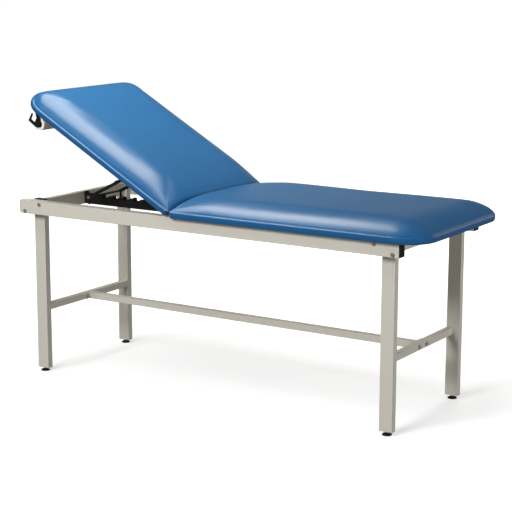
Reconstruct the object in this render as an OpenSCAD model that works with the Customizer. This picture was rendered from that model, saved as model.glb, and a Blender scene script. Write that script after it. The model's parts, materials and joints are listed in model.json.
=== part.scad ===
// Treatment table with a raised backrest, a prop on a toothed bar and a paper roll.
// Millimetres, +Z up. X runs along the table: the head end is at -X, the foot end at +X.
// The origin is on the floor, under the middle of the whole outline, with the backrest at rest.

/* [Table] */
// width of the upholstery
table_w = 686; // [640:1:760]
// from the middle of the side rails to the foot end of the seat
seat_reach = 920; // [880:1:960]
// from the hinge axis to the head end of the backrest
back_reach = 788; // [786:1:800]
// height of the side rails' top above the floor
rail_top_z = 690.4; // [660:1:730]
// backrest angle above flat in the rest pose
rest_angle = 29.4; // [27:0.1:31]
// backrest angle above flat at the last notch
open_angle = 62.5; // [55:0.5:62.5]

/* [Upholstery] */
// thickness of the boards
board_t = 18; // [15:0.5:18]
// height of the upright band round each cushion
band_h = 21; // [20:0.5:21]
// rise of the foam crown above the band
crown_h = 47; // [40:0.5:50]
// distance over which the crown rises from the sides
crown_run = 150; // [130:1:170]
// distance from the hinge end at which the crown has its full height
rise_run = 185; // [160:1:200]
// distance over which the crown rises at the hinge end
ramp_run = 25; // [25:0.5:28]
// part of the crown that rises at the hinge end
ramp_share = 0.55; // [0.45:0.01:0.55]
// corner radius at the head and foot ends
corner_r = 112; // [100:1:120]
// corner radius beside the hinge
hinge_corner_r = 12; // [11:0.5:16]
// smallest corner radius of the crown
crown_corner_r = 9; // [6:0.5:10]
// distance from a board's edge to the outside of its upholstery
skin_t = 3; // [3:0.1:3.5]
// clearance between a board and its upholstery
skin_gap = 0.5; // [0.4:0.05:0.6]
// gap between the boards and the rails' top
board_lift = 3; // [3:0.1:3.4]

/* [Frame] */
// from the middle of the side rails to the end of their tube
rail_reach = 825; // [820:1:830]
// height of the side rail tube
rail_h = 50.8; // [48:0.1:52]
// depth of the side rail tube
rail_d = 38.1; // [34:0.1:40]
// wall of every tube
tube_wall = 2; // [1.6:0.1:2.4]
// how far the cushions reach out past the side rails
rail_overhang = 24.6; // [15:0.1:27]
// length of a leg's section, along the table
leg_l = 50.8; // [48:0.1:52]
// width of a leg's section, across the table
leg_w = 25.4; // [24:0.1:26]
// from the end of a side rail in to the middle of a leg
leg_inset = 59.4; // [59:0.1:62]
// bottom end of the leg tubes above the floor
leg_bottom_z = 14; // [14:0.5:18]
// thickness of the mounting plate between a leg and its rail
leg_plate_t = 4; // [3:0.1:5]
// half length of a mounting plate
leg_plate_half = 46; // [44:0.5:48]
// section of the lower crossbars, the stretcher and the top cross rails
bar_s = 25.4; // [24:0.1:26]
// underside of the lower crossbars and the stretcher
bar_z = 249.6; // [220:1:300]
// end plate of the stretcher, across the table
brace_plate_w = 80; // [76:1:90]
// thickness of the stretcher's end plates
brace_plate_t = 3; // [2.5:0.1:4]
// brace bolts from the table's middle plane
brace_bolt_y = 29; // [27:0.5:31]
// cross member under the hinge: its middle from the hinge axis
member_off = 36.7; // [34:0.1:40]
// height of a leg's top cap above the leg
cap_h = 2.6; // [2:0.1:2.6]
// thickness of the flange on a rail's end cap
end_cap_t = 2; // [1.5:0.1:3]
// depth of the plugs inside the tubes
plug_l = 18; // [12:1:24]
// wall of the plugs inside the tubes
plug_wall = 2; // [1.5:0.1:3]

/* [Hinge] */
// hinge axis from the middle of the side rails, towards the head
hinge_off = 109; // [105:0.5:113]
// hinge axis above the underside of the boards
axis_lift = 9; // [9:0.1:10]
// gap between the hinge axis and each cushion
end_gap = 7.5; // [7.5:0.1:8.5]
// outer radius of the hinge knuckles
knuckle_r = 4.5; // [4.2:0.1:4.6]
// radius of the hinge pins
hinge_pin_r = 2.5; // [2:0.1:3]
// length of one knuckle along the pin
knuckle_l = 18; // [14:0.5:24]
// thickness of the hinge leaves
leaf_t = 2.5; // [2:0.1:2.5]
// length of a hinge leaf under its board
leaf_l = 52; // [44:1:60]
// distance of the outer hinges from the middle plane
hinge_y = 205; // [180:1:225]

/* [Prop] */
// pivots of the prop from the hinge axis, along the backrest
pivot_along = 294.2; // [294:0.1:295]
// pivots of the prop below the backrest's underside
pivot_drop = 12; // [11.9:0.1:12.2]
// length of the prop's arms between pivot and crossbar
prop_len = 315.4; // [315:0.1:316]
// width of the prop's arms
arm_w = 13; // [12:0.5:13]
// thickness of the prop's arms
arm_t = 4; // [3:0.1:5]
// distance of the prop's arms from the middle plane
arm_y = 102; // [90:1:120]
// radius of an arm's upper eye
arm_eye_r = 8; // [7:0.1:8.5]
// radius of the prop's crossbar
pin_r = 4; // [3.5:0.1:4]
// radius of the prop's pivot pins
pivot_r = 4; // [3:0.1:4]
// length of the tail below the crossbar
tail_l = 25; // [18:0.5:26]
// radius of the round nuts on the crossbar
pin_nut_r = 5.8; // [5:0.1:6]
// clearance between the prop's arms and the backrest when it lies flat
prop_gap = 0.85; // [0.8:0.05:0.95]
// thickness of the nuts on the crossbar
pin_nut_t = 5; // [4:0.1:6]

/* [Toothed bar] */
// outer width of the toothed channel
channel_w = 26; // [22:0.5:30]
// thickness of its sheet
channel_t = 2.5; // [2:0.1:3]
// underside of the toothed channel below the top of the side rails
channel_drop = 49.4; // [46.4:0.1:50.4]
// depth of a notch
tooth_h = 11.3; // [9:0.1:12]
// distance between notches
tooth_pitch = 51.9; // [48:0.1:52]
// count of notches
tooth_count = 9; // [7:1:9]
// from the head end of the toothed channel in to its first notch
notch_lead = 42.9; // [41:0.1:46.5]
// clearance of the crossbar above the teeth
tooth_gap = 0.75; // [0.75:0.05:0.9]

/* [Paper roll] */
// outer radius of the paper
paper_r = 25; // [20:0.5:25]
// free space between the paper and each side plate
paper_side = 4.8; // [4.8:0.1:16]
// outer radius of the paper's core
core_r = 13.5; // [12.5:0.1:15]
// wall of the paper's core
core_wall = 1.6; // [1.2:0.1:2]
// roll axis from the hinge axis, along the backrest
roll_along = 709.5; // [709.5:0.1:712]
// roll axis below the backrest's underside
roll_drop = 66.5; // [64:0.5:70]
// radius of the rod through the roll
rod_r = 5; // [4:0.1:6]
// thickness of the roll holder's side plates
holder_t = 3; // [2.5:0.1:3]
// outer face of the side plates in from the cushion's side
holder_inset = 68.5; // [68:0.1:69]
// width of the side plates' mounting flange
holder_flange = 20; // [16:0.5:24]

/* [Feet] */
// radius of a foot's pad
foot_r = 17.5; // [15:0.5:18]
// thickness of a foot's pad
foot_h = 9; // [7:0.5:9]
// radius of a foot's stem
stem_r = 5; // [4:0.1:6]
// length of the stem above the pad
stem_l = 40; // [32:1:45]
// depth of the threaded insert in a leg
insert_l = 20; // [16:1:24]

/* [Fasteners] */
// radius of the frame bolts
bolt_r = 4; // [3.5:0.1:4.2]
// half of the corner to corner size of a bolt head
bolt_head_r = 7.4; // [7:0.1:8]
// thickness of a bolt head and of a nut
bolt_head_h = 5.3; // [4.5:0.1:6]
// rail bolts from the middle of a leg
rail_bolt_off = 36; // [35:0.1:37]
// rail bolts from the top or underside of a rail
rail_bolt_edge = 10.5; // [10:0.1:12]
// radius of the wood screws
screw_r = 2; // [1.6:0.1:2.4]
// radius of a wood screw's head
screw_head_r = 3.8; // [3.4:0.1:4]
// thickness of a wood screw's head
screw_head_h = 1.2; // [1:0.1:1.3]
// depth of a wood screw in a board
screw_depth = 13; // [10:0.5:14]
// radius of the screws that hold the seat
seat_screw_r = 3; // [2.5:0.1:3.2]
// from a leg's inner rail bolt in to the last seat screw
seat_screw_clear = 69.6; // [60:0.1:109]
// first of the seat's screws from the middle of the side rails
seat_screw_first = 40; // [20:1:60]
// radius of the seat's spacers
spacer_r = 12; // [10:0.5:14]

/* [Fits] */
// radial clearance of a turning shaft
run_gap = 0.05; // [0.03:0.01:0.08]
// clearance between pieces that only sit beside each other
side_gap = 0.4; // [0.3:0.05:0.5]
// overrun of cutting shapes
over = 1; // [0.5:0.1:2]

/* [Hidden] */
$fn = 48;
rail_in_y = table_w / 2 - rail_overhang - rail_d;
leg_reach = rail_reach - leg_inset;
channel_z = rail_top_z - channel_drop;
first_notch = leg_reach - bar_s / 2 - notch_lead;
seat_screw_pitch = (leg_reach - rail_bolt_off - seat_screw_clear - seat_screw_first) / 2;
holder_y = table_w / 2 - holder_inset;
paper_half = holder_y - holder_t - paper_side;
rail_mid_x = (rail_reach + end_cap_t - seat_reach) / 2;
hinge_x = rail_mid_x - hinge_off;
board_z = rail_top_z + board_lift;
hinge_z = board_z + axis_lift;
rail_mid_z = rail_top_z - rail_h / 2;
rail_mid_y = rail_in_y + rail_d / 2;
leg_y = rail_in_y - leg_plate_t - leg_w / 2;
leg_in_y = leg_y - leg_w / 2;
leg_in_x = leg_reach - leg_l / 2;
member_x = hinge_x + member_off;
pin_z = board_z - arm_w / 2 - prop_gap;
tooth_top_z = pin_z - pin_r - tooth_gap;
pivot_sink = axis_lift + pivot_drop;
pivot_z = hinge_z + pivot_along * sin(rest_angle) - pivot_sink * cos(rest_angle);
prop_slope = asin((pivot_z - pin_z) / prop_len);
seat_l = hinge_off + seat_reach;
stretcher_reach = leg_in_x - brace_plate_t;
bolt_small_r = bolt_r * 0.7;
bar_head_x = rail_mid_x - leg_reach + bar_s / 2;
bar_hinge_x = member_x - bar_s / 2;
channel_h = tooth_top_z - channel_z;
channel_bolt_z = [channel_z + channel_h * 0.38, channel_z + channel_h * 0.75];
notch_x_shares = [-0.1, -0.085, 0.095, 0.3, 0.46, 0.62];
notch_z_shares = [1, 0, 0, 0.42, 0.48, 1];
board_half = table_w / 2 - skin_t;
leaf_in = end_gap + skin_t + leaf_t;
leaf_screw_x = [leaf_in + leaf_l * 0.3, leaf_in + leaf_l * 0.72];
leaf_half = knuckle_l * 1.5;
lug_x = (hinge_pin_r + knuckle_r) / 2;
hinge_spots = [-hinge_y, 0, hinge_y];
ear_r = arm_eye_r + skin_gap;
ear_y = arm_y + arm_t / 2 + side_gap;
ear_flange = 2.2 * ear_r;
prop_screw_y = ear_y + leaf_t + ear_flange * 0.5;
prop_screw_x = [pivot_along - ear_r * 2, pivot_along + ear_r * 2];
holder_screw_x = [roll_along + roll_drop * 0.2, roll_along + roll_drop * 0.43];
holder_screw_y = holder_y - holder_t - holder_flange * 0.55;
hook_shares = [
    [0.143, 0], [0.489, 0], [0.489, 0.511], [0.263, 0.752], [0.263, 1.053],
    [0.579, 1.023], [0.609, 0.677], [0.714, 0.677], [0.714, 1.203], [0.038, 1.248],
    [-0.13, 0.992], [-0.1, 0.842], [0.143, 0.511]
];
inset_shares = [0, 0.035, 0.07, 0.135, 0.2, 0.32, 0.5, 0.72, 1];
arc_steps = 6;
long_steps = 9;
short_steps = 7;

// colours
steel_paint = [0.74, 0.71, 0.65];
black_paint = [0.07, 0.07, 0.08];
black_plastic = [0.05, 0.05, 0.05];
bright_steel = [0.72, 0.72, 0.74];
plywood = [0.72, 0.56, 0.38];
blue_vinyl = [0.17, 0.40, 0.62];
white_paper = [0.90, 0.87, 0.80];
brown_card = [0.62, 0.50, 0.36];

// shared shapes
module block(lo, hi) {
    translate(lo)
        cube(hi - lo);
}

module rod_y(r, y0, y1) {
    translate([0, y1, 0])
        rotate([90, 0, 0])
            cylinder(r = r, h = y1 - y0);
}

module rod_x(r, x0, x1) {
    translate([x0, 0, 0])
        rotate([0, 90, 0])
            cylinder(r = r, h = x1 - x0);
}

module hex_x(r, x0, x1) {
    translate([x0, 0, 0])
        rotate([0, 90, 0])
            cylinder(r = r, h = x1 - x0, $fn = 6);
}

module hex_y(r, y0, y1) {
    translate([0, y1, 0])
        rotate([90, 0, 0])
            cylinder(r = r, h = y1 - y0, $fn = 6);
}

// rectangular tube between two corners, open at both ends along one axis
module tube(lo, hi, way) {
    in_lo = [for (i = [0:2]) i == way ? lo[i] - over : lo[i] + tube_wall];
    in_hi = [for (i = [0:2]) i == way ? hi[i] + over : hi[i] - tube_wall];
    difference() {
        block(lo, hi);
        block(in_lo, in_hi);
    }
}

module both_sides() {
    children();
    mirror([0, 1, 0])
        children();
}

module at_rail_middle() {
    translate([rail_mid_x, 0, 0])
        children();
}

// sign is +1 at the foot end and on the far side
module at_leg(end_sign, side_sign) {
    translate([rail_mid_x + end_sign * leg_reach, side_sign * leg_y, 0])
        children();
}

// the frame of the backrest: x = -distance from the hinge axis, z = 0 at the axis
module on_backrest() {
    translate([hinge_x, 0, hinge_z])
        rotate([0, rest_angle, 0])
            children();
}

// the frame of the prop: the pivots at the origin, the arms along -x
module on_prop() {
    on_backrest()
        translate([-pivot_along, 0, -pivot_sink])
            rotate([0, -rest_angle - prop_slope, 0])
                children();
}

module on_roll() {
    on_backrest()
        translate([-roll_along, 0, -axis_lift - roll_drop])
            children();
}

// flat slab with rounded corners: r0 at its x0 end and r1 at its x1 end
module slab(x0, x1, half, r0, r1, t) {
    block([x0 + r0, -half, 0], [x1 - r1, half, t]);
    block([x0, r0 - half, 0], [x0 + r0, half - r0, t]);
    block([x1 - r1, r1 - half, 0], [x1, half - r1, t]);
    both_sides() {
        translate([x0 + r0, half - r0, 0])
            cylinder(r = r0, h = t);
        translate([x1 - r1, half - r1, 0])
            cylinder(r = r1, h = t);
    }
}

// the cushions' form
function arch(u) = u >= 1 ? 1 : 1 - pow(1 - u, 3);
function rise(u) = u >= 1 ? 1 : 1 - pow(1 - u, 2);
function ramp(e) = ramp_share * min(1, e / ramp_run) + (1 - ramp_share) * rise(e / rise_run);

// lead 0 puts the points on the arc, and 0.5 makes their straight lines touch it from outside
function corner(cx, cy, r, a0, lead) = [
    for (i = [0:arc_steps])
        let (step = 90 / (arc_steps + 2 * lead), a = a0 + step * (i + lead), out = r / cos(step * lead))
            [cx + out * cos(a), cy + out * sin(a)]
];

function between(p, q, n) = [for (i = [1:n - 1]) p + (q - p) * i / n];

// outline from the hinge end x0 to the free end x1
function outline(x0, x1, half, r0, r1, lead = 0) = concat(
    corner(x1 - r1, half - r1, r1, 0, lead),
    between([x1 - r1, half], [x0 + r0, half], long_steps),
    corner(x0 + r0, half - r0, r0, 90, lead),
    between([x0, half - r0], [x0, r0 - half], short_steps),
    corner(x0 + r0, r0 - half, r0, 180, lead),
    between([x0 + r0, -half], [x1 - r1, -half], long_steps),
    corner(x1 - r1, r1 - half, r1, 270, lead),
    between([x1, r1 - half], [x1, half - r1], short_steps)
);

function crown_z(p, x0, x1, half) =
    band_h + crown_h * arch((half - abs(p[1])) / crown_run)
    * ramp(max(0, p[0] - x0)) * arch(max(0, x1 - p[0]) / crown_run);

function crown_ring(d, x0, x1, half) = [
    for (p = outline(
        x0 + d, x1 - d, half - d,
        max(hinge_corner_r - d, crown_corner_r), max(corner_r - d, crown_corner_r)
    )) [p[0], p[1], crown_z(p, x0, x1, half)]
];

function flat_ring(pts, z) = [for (p = pts) [p[0], p[1], z]];

// closed form of one cushion, hinge end at x0, with a recess for its board
module cushion_form(x0, x1) {
    half = table_w / 2;
    outer = outline(x0, x1, half, hinge_corner_r, corner_r);
    cut = skin_t - skin_gap;
    inner = outline(x0 + cut, x1 - cut, half - cut, hinge_corner_r - cut, corner_r - cut, 0.5);
    rings = concat(
        [flat_ring(inner, board_t)],
        [flat_ring(inner, 0)],
        [flat_ring(outer, 0)],
        [for (s = inset_shares) crown_ring(s * crown_run, x0, x1, half)]
    );
    n = len(outer);
    m = len(rings);
    mid = [(x0 + x1) / 2, 0];
    pts = concat(
        [for (r = rings) each r],
        [[mid[0], mid[1], board_t]],
        [[mid[0], mid[1], crown_z(mid, x0, x1, half)]]
    );
    faces = concat(
        [for (i = [0:n - 1]) [n * m, i, (i + 1) % n]],
        [for (k = [0:m - 2]) for (i = [0:n - 1]) [k * n + i, k * n + n + i, k * n + (i + 1) % n]],
        [for (k = [0:m - 2]) for (i = [0:n - 1])
            [k * n + (i + 1) % n, k * n + n + i, k * n + n + (i + 1) % n]],
        [for (i = [0:n - 1]) [n * m + 1, m * n - n + (i + 1) % n, m * n - n + i]]
    );
    polyhedron(points = pts, faces = faces);
}

// side rails
module side_rail() {
    at_rail_middle()
        difference() {
            tube(
                [-rail_reach, rail_in_y, rail_top_z - rail_h],
                [rail_reach, rail_in_y + rail_d, rail_top_z], 0
            );
            for (e = [-1, 1])
                rail_bolt_holes(e);
            for (k = [0:2])
                translate([seat_screw_x(k), rail_mid_y, rail_top_z - rail_h - over])
                    cylinder(r = seat_screw_r + run_gap, h = rail_h + 2 * over);
        }
}

function seat_screw_x(k) = seat_screw_first + k * seat_screw_pitch;

module rail_bolt_holes(e) {
    for (k = [-1, 1])
        translate([e * (leg_reach + k * rail_bolt_off), 0, rail_bolt_z(k)])
            rod_y(bolt_r + run_gap, rail_in_y - leg_plate_t - over, rail_in_y + rail_d + over);
}

// the outer bolt is low and the inner one high
function rail_bolt_z(k) = k > 0 ? rail_top_z - rail_h + rail_bolt_edge : rail_top_z - rail_bolt_edge;

module side_rail_near() {
    color(steel_paint)
        mirror([0, 1, 0])
            side_rail();
}

module side_rail_far() {
    color(steel_paint)
        side_rail();
}

module rail_end_cap() {
    lo = [rail_reach, rail_in_y, rail_top_z - rail_h];
    hi = [rail_reach + end_cap_t, rail_in_y + rail_d, rail_top_z];
    block(lo, hi);
    difference() {
        block(
            [rail_reach - plug_l, lo[1] + tube_wall, lo[2] + tube_wall],
            [rail_reach, hi[1] - tube_wall, hi[2] - tube_wall]
        );
        block(
            [rail_reach - plug_l - over, lo[1] + tube_wall + plug_wall, lo[2] + tube_wall + plug_wall],
            [rail_reach - plug_wall, hi[1] - tube_wall - plug_wall, hi[2] - tube_wall - plug_wall]
        );
    }
}

module rail_end_caps() {
    color(black_plastic)
        at_rail_middle()
            both_sides() {
                rail_end_cap();
                mirror([1, 0, 0])
                    rail_end_cap();
            }
}

module rail_bolts() {
    color(bright_steel)
        at_rail_middle()
            both_sides()
                for (e = [-1, 1])
                    for (k = [-1, 1])
                        translate([e * (leg_reach + k * rail_bolt_off), 0, rail_bolt_z(k)]) {
                            rod_y(bolt_r, rail_in_y - leg_plate_t, rail_in_y + rail_d);
                            hex_y(bolt_head_r, rail_in_y + rail_d, rail_in_y + rail_d + bolt_head_h);
                        }
}

// legs
module leg() {
    tube([-leg_l / 2, -leg_w / 2, leg_bottom_z], [leg_l / 2, leg_w / 2, rail_top_z], 2);
}

module leg_near_head() {
    color(steel_paint)
        at_leg(-1, -1)
            leg();
}

module leg_far_head() {
    color(steel_paint)
        at_leg(-1, 1)
            leg();
}

module leg_near_foot() {
    color(steel_paint)
        at_leg(1, -1)
            leg();
}

module leg_far_foot() {
    color(steel_paint)
        at_leg(1, 1)
            leg();
}

module at_all_legs() {
    for (e = [-1, 1])
        for (s = [-1, 1])
            at_leg(e, s)
                children();
}

module leg_top_caps() {
    color(black_plastic)
        at_all_legs() {
            block([-leg_l / 2, -leg_w / 2, rail_top_z], [leg_l / 2, leg_w / 2, rail_top_z + cap_h]);
            block(
                [tube_wall - leg_l / 2, tube_wall - leg_w / 2, rail_top_z - plug_l],
                [leg_l / 2 - tube_wall, leg_w / 2 - tube_wall, rail_top_z]
            );
        }
}

module leg_inserts() {
    color(black_plastic)
        at_all_legs()
            difference() {
                block(
                    [tube_wall - leg_l / 2, tube_wall - leg_w / 2, leg_bottom_z],
                    [leg_l / 2 - tube_wall, leg_w / 2 - tube_wall, leg_bottom_z + insert_l]
                );
                translate([0, 0, leg_bottom_z - over])
                    cylinder(r = stem_r + run_gap, h = insert_l + 2 * over);
            }
}

module leg_plates() {
    color(steel_paint)
        at_rail_middle()
            both_sides()
                for (e = [-1, 1])
                    difference() {
                        block(
                            [e * leg_reach - leg_plate_half, rail_in_y - leg_plate_t, rail_top_z - rail_h],
                            [e * leg_reach + leg_plate_half, rail_in_y, rail_top_z]
                        );
                        rail_bolt_holes(e);
                    }
}

// end frames and stretcher
module cross_rail(e) {
    mid = e * leg_reach;
    at_rail_middle()
        difference() {
            tube(
                [mid - bar_s / 2, -leg_in_y, rail_top_z - rail_h],
                [mid + bar_s / 2, leg_in_y, rail_top_z], 1
            );
            if (e < 0)
                for (z = channel_bolt_z)
                    translate([0, 0, z])
                        rod_x(bolt_small_r + run_gap, mid + bar_s / 2 - tube_wall - over, mid + bar_s / 2 + over);
        }
}

module cross_rail_head() {
    color(steel_paint)
        cross_rail(-1);
}

module cross_rail_foot() {
    color(steel_paint)
        cross_rail(1);
}

// flush with the legs' sides that face the middle of the table
module crossbar(e) {
    x0 = e > 0 ? leg_in_x : -leg_in_x - bar_s;
    at_rail_middle()
        difference() {
            tube([x0, -leg_in_y, bar_z], [x0 + bar_s, leg_in_y, bar_z + bar_s], 1);
            for (s = [-1, 1])
                translate([0, s * brace_bolt_y, bar_z + bar_s / 2])
                    rod_x(bolt_r + run_gap, x0 - over, x0 + bar_s + over);
        }
}

module crossbar_head() {
    color(steel_paint)
        crossbar(-1);
}

module crossbar_foot() {
    color(steel_paint)
        crossbar(1);
}

module stretcher() {
    color(steel_paint)
        at_rail_middle()
            tube([-stretcher_reach, -bar_s / 2, bar_z], [stretcher_reach, bar_s / 2, bar_z + bar_s], 0);
}

module at_both_ends() {
    at_rail_middle() {
        children();
        mirror([1, 0, 0])
            children();
    }
}

module stretcher_end_plates() {
    color(steel_paint)
        at_both_ends()
            difference() {
                block(
                    [stretcher_reach, -brace_plate_w / 2, bar_z],
                    [leg_in_x, brace_plate_w / 2, bar_z + bar_s]
                );
                for (s = [-1, 1])
                    translate([0, s * brace_bolt_y, bar_z + bar_s / 2])
                        rod_x(bolt_r + run_gap, stretcher_reach - over, leg_in_x + over);
            }
}

module brace_bolts() {
    color(bright_steel)
        at_both_ends()
            for (s = [-1, 1])
                translate([0, s * brace_bolt_y, bar_z + bar_s / 2]) {
                    rod_x(bolt_r, stretcher_reach - 2 * bolt_head_h, leg_in_x + bar_s);
                    hex_x(bolt_head_r, leg_in_x + bar_s, leg_in_x + bar_s + bolt_head_h);
                }
}

module brace_nuts() {
    color(bright_steel)
        at_both_ends()
            for (s = [-1, 1])
                translate([0, s * brace_bolt_y, bar_z + bar_s / 2])
                    difference() {
                        hex_x(bolt_head_r, stretcher_reach - bolt_head_h, stretcher_reach);
                        rod_x(bolt_r + run_gap, stretcher_reach - bolt_head_h - over, stretcher_reach + over);
                    }
}

module hinge_cross_member() {
    color(steel_paint)
        difference() {
            tube(
                [member_x - bar_s / 2, -rail_in_y, rail_top_z - rail_h],
                [member_x + bar_s / 2, rail_in_y, rail_top_z], 1
            );
            for (z = channel_bolt_z)
                translate([0, 0, z])
                    rod_x(bolt_small_r + run_gap, member_x - bar_s / 2 - over, member_x - bar_s / 2 + tube_wall + over);
        }
}

// toothed bar
module tooth_profile() {
    x0 = bar_head_x + brace_plate_t;
    x1 = bar_hinge_x - brace_plate_t;
    n0 = rail_mid_x - first_notch;
    low = tooth_top_z - tooth_h;
    polygon(concat(
        [[x1, tooth_top_z], [x1, channel_z], [x0, channel_z], [x0, tooth_top_z]],
        [for (i = [0:tooth_count - 1]) for (j = [0:5])
            [n0 + (i + notch_x_shares[j]) * tooth_pitch, low + notch_z_shares[j] * tooth_h]]
    ));
}

module toothed_bar() {
    color(black_paint) {
        both_sides()
            translate([0, channel_w / 2, 0])
                rotate([90, 0, 0])
                    linear_extrude(channel_t)
                        tooth_profile();
        block(
            [bar_head_x + brace_plate_t, channel_t - channel_w / 2, channel_z],
            [bar_hinge_x - brace_plate_t, channel_w / 2 - channel_t, channel_z + channel_t]
        );
    }
}

module toothed_bar_end_plate() {
    difference() {
        block([0, -channel_w / 2, channel_z], [brace_plate_t, channel_w / 2, rail_top_z - side_gap]);
        for (z = channel_bolt_z)
            translate([0, 0, z])
                rod_x(bolt_small_r + run_gap, -over, brace_plate_t + over);
    }
}

module toothed_bar_end_plates() {
    color(black_paint) {
        translate([bar_head_x, 0, 0])
            toothed_bar_end_plate();
        translate([bar_hinge_x - brace_plate_t, 0, 0])
            toothed_bar_end_plate();
    }
}

module toothed_bar_bolt() {
    rod_x(bolt_small_r, -2 * tube_wall, brace_plate_t);
    hex_x(bolt_head_r * 0.7, brace_plate_t, brace_plate_t + bolt_head_h * 0.7);
}

module toothed_bar_bolts() {
    color(bright_steel)
        for (z = channel_bolt_z) {
            translate([bar_head_x, 0, z])
                toothed_bar_bolt();
            translate([bar_hinge_x, 0, z])
                mirror([1, 0, 0])
                    toothed_bar_bolt();
        }
}

// seat
module leaf_screw_holes(y) {
    for (x = leaf_screw_x)
        translate([x, y, -over])
            cylinder(r = screw_r + run_gap, h = over + screw_depth + side_gap);
}

module board(reach) {
    difference() {
        slab(
            end_gap + skin_t, reach - skin_t, board_half,
            hinge_corner_r - skin_t, corner_r - skin_t, board_t
        );
        for (y = hinge_spots)
            for (s = [-1, 1])
                leaf_screw_holes(y + s * leaf_half * 0.6);
    }
}

module seat_board() {
    color(plywood)
        translate([hinge_x, 0, board_z])
            difference() {
                board(seat_l);
                for (s = [-1, 1])
                    for (k = [0:2])
                        translate([rail_mid_x + seat_screw_x(k) - hinge_x, s * rail_mid_y, -over])
                            cylinder(r = seat_screw_r + run_gap, h = screw_depth + over);
            }
}

module seat_cushion() {
    color(blue_vinyl)
        translate([hinge_x, 0, board_z])
            cushion_form(end_gap, seat_l);
}

module seat_spacers() {
    color(black_plastic)
        at_rail_middle()
            both_sides()
                for (k = [0:2])
                    translate([seat_screw_x(k), rail_mid_y, rail_top_z])
                        difference() {
                            cylinder(r = spacer_r, h = board_lift);
                            translate([0, 0, -over])
                                cylinder(r = seat_screw_r + run_gap, h = board_lift + 2 * over);
                        }
}

module seat_screws() {
    color(bright_steel)
        at_rail_middle()
            both_sides()
                for (k = [0:2])
                    translate([seat_screw_x(k), rail_mid_y, rail_top_z - rail_h]) {
                        cylinder(r = seat_screw_r, h = rail_h + board_lift + screw_depth - side_gap);
                        translate([0, 0, -seat_screw_r])
                            cylinder(r = 2 * seat_screw_r, h = seat_screw_r);
                    }
}

// hinges
// leaf for the seat side; its knuckles stand at the given places along the pin
module hinge_leaf(spots) {
    difference() {
        union() {
            block(
                [end_gap + skin_t - leaf_t - side_gap, -leaf_half, -axis_lift - leaf_t],
                [leaf_in + leaf_l, leaf_half, -axis_lift]
            );
            for (y = spots) {
                block(
                    [lug_x, y - knuckle_l / 2, -axis_lift - leaf_t],
                    [leaf_in, y + knuckle_l / 2, -axis_lift]
                );
                block(
                    [lug_x, y - knuckle_l / 2, -axis_lift - leaf_t],
                    [end_gap - side_gap, y + knuckle_l / 2, 0]
                );
                rod_y(knuckle_r, y - knuckle_l / 2, y + knuckle_l / 2);
            }
        }
        rod_y(hinge_pin_r + run_gap, -leaf_half - over, leaf_half + over);
        for (x = leaf_screw_x)
            for (s = [-1, 1])
                translate([x, s * leaf_half * 0.6, -axis_lift - leaf_t - over])
                    cylinder(r = screw_r + run_gap, h = leaf_t + 2 * over);
        for (x = leaf_screw_x)
            for (s = [-1, 1])
                translate([x, s * leaf_half * 0.6, -axis_lift - leaf_t - over])
                    cylinder(r = screw_head_r + run_gap, h = over + screw_head_h);
    }
}

module leaf_screws() {
    for (y = hinge_spots)
        for (x = leaf_screw_x)
            for (s = [-1, 1])
                translate([x, y + s * leaf_half * 0.6, -axis_lift - leaf_t]) {
                    cylinder(r = screw_head_r, h = screw_head_h);
                    cylinder(r = screw_r, h = leaf_t + screw_depth);
                }
}

module at_hinge() {
    translate([hinge_x, 0, hinge_z])
        children();
}

module seat_hinge_leaves() {
    color(bright_steel)
        at_hinge()
            for (y = hinge_spots)
                translate([0, y, 0])
                    hinge_leaf([-knuckle_l - side_gap / 2, knuckle_l + side_gap / 2]);
}

module seat_hinge_screws() {
    color(bright_steel)
        at_hinge()
            leaf_screws();
}

module hinge_pins() {
    color(bright_steel)
        at_hinge()
            for (y = hinge_spots)
                translate([0, y, 0]) {
                    rod_y(hinge_pin_r, -leaf_half - side_gap, leaf_half + side_gap);
                    both_sides()
                        rod_y(
                            hinge_pin_r + tube_wall / 2,
                            leaf_half + side_gap, leaf_half + side_gap + tube_wall / 2
                        );
                }
}

module backrest_hinge_leaves() {
    color(bright_steel)
        on_backrest()
            mirror([1, 0, 0])
                for (y = hinge_spots)
                    translate([0, y, 0])
                        hinge_leaf([0]);
}

module backrest_hinge_screws() {
    color(bright_steel)
        on_backrest()
            mirror([1, 0, 0])
                leaf_screws();
}

// backrest
module on_backrest_underside() {
    on_backrest()
        mirror([1, 0, 0])
            translate([0, 0, -axis_lift])
                children();
}

module backrest_board() {
    color(plywood)
        on_backrest_underside()
            difference() {
                board(back_reach);
                for (s = [-1, 1]) {
                    for (x = prop_screw_x)
                        translate([x, s * prop_screw_y, -over])
                            cylinder(r = screw_r + run_gap, h = over + screw_depth);
                    for (x = holder_screw_x)
                        translate([x, s * holder_screw_y, -over])
                            cylinder(r = screw_r + run_gap, h = over + screw_depth);
                }
            }
}

module backrest_cushion() {
    color(blue_vinyl)
        on_backrest_underside()
            cushion_form(end_gap, back_reach);
}

// prop brackets
module prop_bracket() {
    difference() {
        union() {
            block(
                [pivot_along - 3 * ear_r, ear_y, -leaf_t],
                [pivot_along + 3 * ear_r, ear_y + leaf_t + ear_flange, 0]
            );
            block([pivot_along - ear_r, ear_y, -pivot_drop], [pivot_along + ear_r, ear_y + leaf_t, 0]);
            translate([pivot_along, 0, -pivot_drop])
                rod_y(ear_r, ear_y, ear_y + leaf_t);
        }
        translate([pivot_along, 0, -pivot_drop])
            rod_y(pivot_r + run_gap, ear_y - over, ear_y + leaf_t + over);
        for (x = prop_screw_x)
            translate([x, prop_screw_y, -leaf_t - over])
                cylinder(r = screw_r + run_gap, h = leaf_t + 2 * over);
    }
}

module prop_brackets() {
    color(black_paint)
        on_backrest_underside()
            both_sides()
                prop_bracket();
}

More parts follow.
